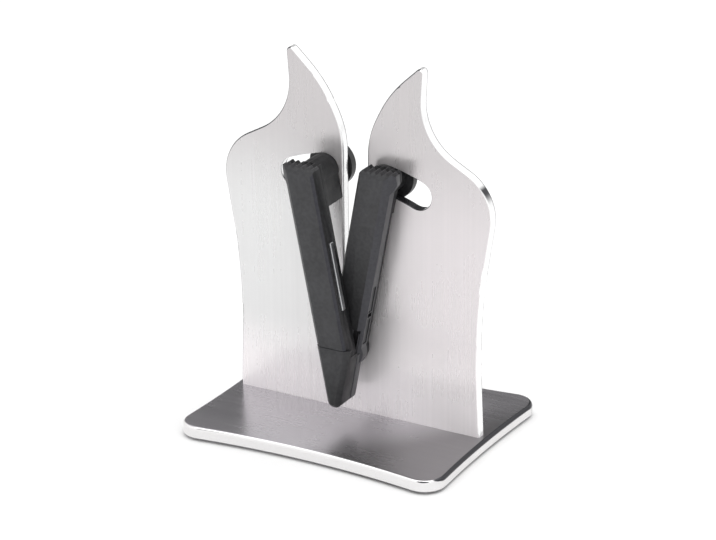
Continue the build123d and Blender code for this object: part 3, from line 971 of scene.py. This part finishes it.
def round_edges(
    obj: bpy.types.Object, width: float, segments: int, least_angle: float = 30.0,
) -> None:
    """Round an object's crisp edges.

    Args:
        obj: the object.
        width: width of the rounding.
        segments: facets across the rounding.
        least_angle: smallest angle, in degrees, that counts as an edge.
    """
    rounding = obj.modifiers.new("rounding", "BEVEL")
    rounding.width = width
    rounding.segments = segments
    rounding.limit_method = "ANGLE"
    rounding.angle_limit = math.radians(least_angle)
    take(obj)
    bpy.ops.object.modifier_apply(modifier=rounding.name)


def soft_copy(node: bpy.types.Object, name: str, width: float) -> bpy.types.Object:
    """Copy of a node with its crisp edges rounded, as a mould leaves them.

    Args:
        node: the node's object, which is left alone.
        name: name of the new piece.
        width: width of the rounding.

    Returns:
        The new piece, in the node's place.
    """
    copy = bpy.data.objects.new(name, node.data.copy())
    bpy.context.scene.collection.objects.link(copy)
    take(copy)
    bpy.ops.object.mode_set(mode="EDIT")
    bpy.ops.mesh.select_all(action="SELECT")
    bpy.ops.mesh.remove_doubles(threshold=0.002 * MM)
    bpy.ops.mesh.dissolve_limited(angle_limit=math.radians(0.6))
    bpy.ops.object.mode_set(mode="OBJECT")
    round_edges(copy, width, segments=2, least_angle=26.0)
    bpy.ops.object.shade_smooth_by_angle(angle=math.radians(35))
    return copy


def add_cylinder(place: Direction, radius: float, length: float, sides: int) -> bpy.types.Object:
    """Cylinder that lies along Y, with its place and turn in its mesh.

    Args:
        place: its middle.
        radius: its radius, to the corners.
        length: its length.
        sides: number of its sides.

    Returns:
        The cylinder.
    """
    deselect_all()
    bpy.ops.mesh.primitive_cylinder_add(
        vertices=sides, radius=radius, depth=length,
        location=place, rotation=(math.radians(-90), 0, 0),
    )
    cylinder = bpy.context.object
    bpy.ops.object.transform_apply(location=True, rotation=True, scale=True)
    return cylinder


def edit_faces(obj: bpy.types.Object, normal: Direction, least: float = 0.9) -> None:
    """Enter edit mode with only the faces that look along a direction selected.

    Args:
        obj: the active object.
        normal: the direction.
        least: smallest dot product that counts.
    """
    bpy.ops.object.mode_set(mode="EDIT")
    bpy.ops.mesh.select_mode(type="FACE")
    bpy.ops.mesh.select_all(action="DESELECT")
    bpy.ops.object.mode_set(mode="OBJECT")
    for face in obj.data.polygons:
        face.select = face.normal.dot(Vector(normal)) > least
    bpy.ops.object.mode_set(mode="EDIT")


# Sub-assemblies


@dataclass
class Stand:
    """Base, plate and what holds them together."""

    finishes: Finishes
    plug_radius: float = 0.8 * MM
    plug_length: float = 1.3 * MM
    plug_sink: float = 0.15 * MM
    plug_rim: float = 0.25 * MM
    plug_slope: float = 0.12 * MM
    plug_well: float = 0.2 * MM
    plug_round: float = 0.08 * MM
    plug_x: float = -10.4 * MM
    plug_z: float = 96.6 * MM

    def dress_nodes(self, nodes: Nodes) -> None:
        """Give the stand's nodes their finishes.

        Args:
            nodes: the frame's nodes by name.
        """
        dress(nodes["upright_plate"], self.finishes.plate)
        dress(nodes["base_plate"], self.finishes.base)
        dress(nodes["base_screws"], self.finishes.fastener)
        dress(nodes["anti_slip_pad"], self.finishes.rubber)
        LOG.info("stand dressed")

    def build_plug(self) -> None:
        """Small dark plug in the blind hole beside the knife gap, with a sunk middle."""
        middle = (self.plug_x, self.plug_sink + self.plug_length / 2, self.plug_z)
        plug = add_cylinder(middle, self.plug_radius, self.plug_length, sides=32)
        edit_faces(plug, FORWARD)
        bpy.ops.mesh.inset(thickness=self.plug_rim)
        bpy.ops.mesh.inset(thickness=self.plug_slope, depth=-self.plug_well)
        bpy.ops.object.mode_set(mode="OBJECT")
        round_edges(plug, self.plug_round, segments=2)
        settle(plug, "gap_plug")
        dress(plug, self.finishes.guide)
        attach(plug, "stand")
        LOG.info("gap plug built")


@dataclass
class Pivot:
    """The axle of the arms with its spacer, washer, nut and spring."""

    finishes: Finishes
    flats: float = 8.0 * MM
    nut_thick: float = 4.0 * MM
    corner_round: float = 0.22 * MM
    dome_radius: float = 3.4 * MM
    dome_neck: float = 0.6 * MM
    dome_sink: float = 0.3 * MM
    dome_steps: int = 7
    dome_sweep: float = 84.0

    def dress_nodes(self, nodes: Nodes) -> None:
        """Give the pivot's nodes their finishes.

        Args:
            nodes: the frame's nodes by name.
        """
        for name in ("pivot_pin", "pivot_washer"):
            dress(nodes[name], self.finishes.fastener)
        dress(nodes["pivot_spacer"], self.finishes.guide)
        dress(nodes["return_spring"], self.finishes.spring)
        LOG.info("pivot dressed")

    def build_hexagon(self, x: float, front: float, z: float) -> bpy.types.Object:
        """Hexagon of the nut, with all its edges slightly rounded.

        Args:
            x: the nut's middle across the plate.
            front: the nut's front face.
            z: the nut's height.

        Returns:
            The hexagon.
        """
        corners = self.flats / math.cos(math.radians(30)) / 2
        hexagon = add_cylinder((x, front + self.nut_thick / 2, z), corners, self.nut_thick, sides=6)
        round_edges(hexagon, self.corner_round, segments=3, least_angle=40.0)
        return hexagon

    def build_dome(self, x: float, front: float, rear: float, z: float) -> bpy.types.Object:
        """Round dome of the nut: a short neck drawn out step by step to a closed crown.

        Args:
            x: the nut's middle across the plate.
            front: the nut's front face.
            rear: the top of the dome.
            z: the nut's height.

        Returns:
            The dome.
        """
        foot = front + self.nut_thick - self.dome_sink
        length = self.dome_sink + self.dome_neck
        dome = add_cylinder((x, foot + length / 2, z), self.dome_radius, length, sides=48)
        edit_faces(dome, REARWARD)
        rise = (rear - foot - length) / math.sin(math.radians(self.dome_sweep))
        steps = range(self.dome_steps + 1)
        angles = [math.radians(self.dome_sweep * step / self.dome_steps) for step in steps]
        for start, end in zip(angles, angles[1:]):
            lift = rise * (math.sin(end) - math.sin(start))
            narrower = math.cos(end) / math.cos(start)
            bpy.ops.mesh.extrude_region_move(TRANSFORM_OT_translate={"value": (0, lift, 0)})
            bpy.ops.transform.resize(value=(narrower, 1, narrower))
        bpy.ops.object.mode_set(mode="OBJECT")
        return dome

    def build_nut(self) -> None:
        """Cap nut: hexagon and dome in one piece."""
        low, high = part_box("pivot_cap_nut")
        x, z = (low[0] + high[0]) / 2, (low[2] + high[2]) / 2
        nut = self.build_hexagon(x, low[1], z)
        dome = self.build_dome(x, low[1], high[1], z)
        take(nut)
        dome.select_set(True)
        bpy.ops.object.join()
        settle(nut, "cap_nut")
        dress(nut, self.finishes.fastener)
        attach(nut, "stand")
        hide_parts("pivot_cap_nut")
        LOG.info("cap nut built")


@dataclass
class Arm:
    """One sharpening arm with all that swings with it."""

    finishes: Finishes
    side: str
    soft_width: float = 0.28 * MM
    cap_soft_width: float = 0.60 * MM

    def node(self, nodes: Nodes, name: str) -> bpy.types.Object:
        """The arm's own node of that name."""
        return nodes[f"{self.side}_{name}"]

    def dress_nodes(self, nodes: Nodes) -> None:
        """Give the arm's turned and ground nodes their finishes.

        Args:
            nodes: the frame's nodes by name.
        """
        for name in ("guide_bush", "guide_disc"):
            dress(self.node(nodes, name), self.finishes.guide)
        for name in ("arm_screws", "guide_screw", "pivot_bush"):
            dress(self.node(nodes, name), self.finishes.fastener)
        dress(self.node(nodes, "carbide_bar"), self.finishes.carbide)
        LOG.info("%s arm dressed", self.side)

    def build_mouldings(self, nodes: Nodes) -> None:
        """Make the arm's plastic pieces with the soft edges of a moulding.

        Args:
            nodes: the frame's nodes by name.
        """
        left = self.side == "left"
        shell = self.finishes.left_plastic if left else self.finishes.right_plastic
        pieces = [
            ("arm_shell", self.soft_width, shell),
            ("arm_back", self.soft_width, self.finishes.inner_plastic),
        ]
        if left:
            pieces.append(("tip_cap", self.cap_soft_width, self.finishes.cap_plastic))
        for name, width, finish in pieces:
            moulding = soft_copy(self.node(nodes, name), f"{self.side}_{name}_moulding", width)
            dress(moulding, finish)
            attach(moulding, f"{self.side}_arm")
            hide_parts(f"{self.side}_{name}")
            LOG.info("%s built, %d faces", moulding.name, len(moulding.data.polygons))


# Studio


@dataclass(frozen=True)
class View:
    """The camera that took the photograph, fitted to it."""

    azimuth: float = 29.85
    elevation: float = 22.80
    roll: float = -0.73
    distance: float = 1.35714
    focal_pixels: float = 3394.46
    width_pixels: float = 716.0
    sensor: float = 36.0
    target: tuple[float, float, float] = (0.67 * MM, 0.0, 68.07 * MM)
    nearest: float = 0.05
    farthest: float = 50.0

    def axes(self) -> Matrix:
        """The camera's own right, up and back directions.

        Returns:
            The directions as the columns of a matrix.
        """
        azimuth, elevation, roll = map(math.radians, (self.azimuth, self.elevation, self.roll))
        level = math.cos(elevation)
        back = Vector((math.sin(azimuth) * level, -math.cos(azimuth) * level, math.sin(elevation)))
        right = Vector(UPWARD).cross(back).normalized()
        up = back.cross(right)
        turned_right = right * math.cos(roll) + up * math.sin(roll)
        turned_up = up * math.cos(roll) - right * math.sin(roll)
        return Matrix((turned_right, turned_up, back)).transposed()

    def build(self) -> None:
        """Make the camera."""
        data = bpy.data.cameras.new("photo_camera")
        data.sensor_fit = "HORIZONTAL"
        data.sensor_width = self.sensor
        data.lens = self.focal_pixels * self.sensor / self.width_pixels
        data.clip_start = self.nearest
        data.clip_end = self.farthest
        data.dof.use_dof = False
        camera = bpy.data.objects.new("photo_camera", data)
        bpy.context.scene.collection.objects.link(camera)
        axes = self.axes()
        place = Vector(self.target) + axes.col[2] * self.distance
        camera.matrix_world = Matrix.Translation(place) @ axes.to_4x4()
        bpy.context.scene.camera = camera
        LOG.info("camera built, lens %.1f mm", data.lens)


@dataclass(frozen=True)
class Lamp:
    """A square soft box that looks at a point."""

    name: str
    place: tuple[float, float, float]
    look_at: tuple[float, float, float]
    size: float
    power: float

    def build(self) -> None:
        """Make the light."""
        data = bpy.data.lights.new(self.name, "AREA")
        data.shape = "SQUARE"
        data.size = self.size
        data.energy = self.power
        light = bpy.data.objects.new(self.name, data)
        bpy.context.scene.collection.objects.link(light)
        light.location = self.place
        aim = Vector(self.look_at) - Vector(self.place)
        light.rotation_euler = aim.to_track_quat("-Z", "Y").to_euler()
        LOG.info("%s built", self.name)


@dataclass
class Studio:
    """Pale floor, soft light and the camera."""

    floor_size: float = 12.0
    floor_colour: Colour = (0.80, 0.80, 0.80)
    patch_colour: Colour = (0.81, 0.81, 0.81)
    patch_scale: float = 3.0
    floor_roughness: float = 0.9
    floor_gloss: float = 0.1
    rear_level: float = 1.00
    front_level: float = 1.05
    high_level: float = 1.25
    dark_level: float = 0.14
    dark_towards: Direction = (-0.46, 0.80, 0.39)
    dark_from: float = 0.80
    dark_full: float = 0.95
    front_end: float = -0.5
    rear_end: float = 0.4
    high_from: float = 0.25
    high_full: float = 0.80

    def build_floor(self, effects: SharedEffects) -> None:
        """Plain pale floor.

        Args:
            effects: the shared node groups.
        """
        deselect_all()
        bpy.ops.mesh.primitive_grid_add(x_subdivisions=8, y_subdivisions=8, size=self.floor_size)
        floor = bpy.context.object
        floor.name = "floor"
        paint = Paint.start("floor_paper", effects)
        graph = paint.graph
        mottle = graph.group(effects.mottle, Position=paint.place, Patch_Scale=self.patch_scale)
        patches = mottle.outputs["Patches"]
        paper = graph.mix(patches, rgba(self.floor_colour), rgba(self.patch_colour))
        paint.feed("Base Color", paper)
        paint.feed("Roughness", self.floor_roughness)
        paint.feed("Specular IOR Level", self.floor_gloss)
        dress(floor, paint.material)
        LOG.info("floor built")

    def build_world(self) -> None:
        """White backdrop in a room that is bright overhead and dark on one side to the rear."""
        world = bpy.data.worlds.new("room")
        bpy.context.scene.world = world
        world.use_nodes = True
        world.node_tree.nodes.clear()
        graph = Graph(world.node_tree)
        direction = graph.add("ShaderNodeTexCoord").outputs["Generated"]
        dark = tuple(Vector(self.dark_towards).normalized())
        towards = graph.vector("DOT_PRODUCT", direction, dark).outputs["Value"]
        shade = graph.remap(towards, self.dark_from, self.dark_full, 1.0, self.dark_level)
        split = graph.add("ShaderNodeSeparateXYZ")
        graph.put(direction, split.inputs[0])
        depth, height = split.outputs["Y"], split.outputs["Z"]
        low = graph.remap(depth, self.front_end, self.rear_end, self.front_level, self.rear_level)
        overhead = graph.remap(height, self.high_from, self.high_full, low, self.high_level)
        room = graph.math("MULTIPLY", shade, overhead)
        seen = graph.add("ShaderNodeLightPath").outputs["Is Camera Ray"]
        background = graph.add("ShaderNodeBackground")
        graph.put((1.0, 1.0, 1.0, 1.0), background.inputs["Color"])
        graph.put(graph.remap(seen, 0.0, 1.0, room, 1.0), background.inputs["Strength"])
        output = graph.add("ShaderNodeOutputWorld")
        graph.put(background.outputs[0], output.inputs["Surface"])
        LOG.info("room built")

    def build(self, effects: SharedEffects) -> None:
        """Make the floor, the light and the camera.

        Args:
            effects: the shared node groups.
        """
        self.build_floor(effects)
        self.build_world()
        above, below = (0.0, 0.2, 1.0), (0.0, 0.2, 0.0)
        Lamp("overhead_box", place=above, look_at=below, size=1.2, power=5.0).build()
        View().build()
        settings = bpy.context.scene.view_settings
        settings.view_transform = "Standard"
        settings.look = "None"
        LOG.info("studio built")


def main() -> None:
    """Dress the frame, add the small pieces and set up the studio."""
    logging.basicConfig(level=logging.INFO, format="%(name)s: %(message)s")
    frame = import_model()
    nodes = frame["nodes"]
    effects = SharedEffects.build()
    finishes = Finishes.build(effects)
    stand = Stand(finishes)
    stand.dress_nodes(nodes)
    stand.build_plug()
    pivot = Pivot(finishes)
    pivot.dress_nodes(nodes)
    pivot.build_nut()
    for side in ("left", "right"):
        arm = Arm(finishes, side)
        arm.dress_nodes(nodes)
        arm.build_mouldings(nodes)
    Studio().build(effects)


if __name__ == "__main__":
    main()
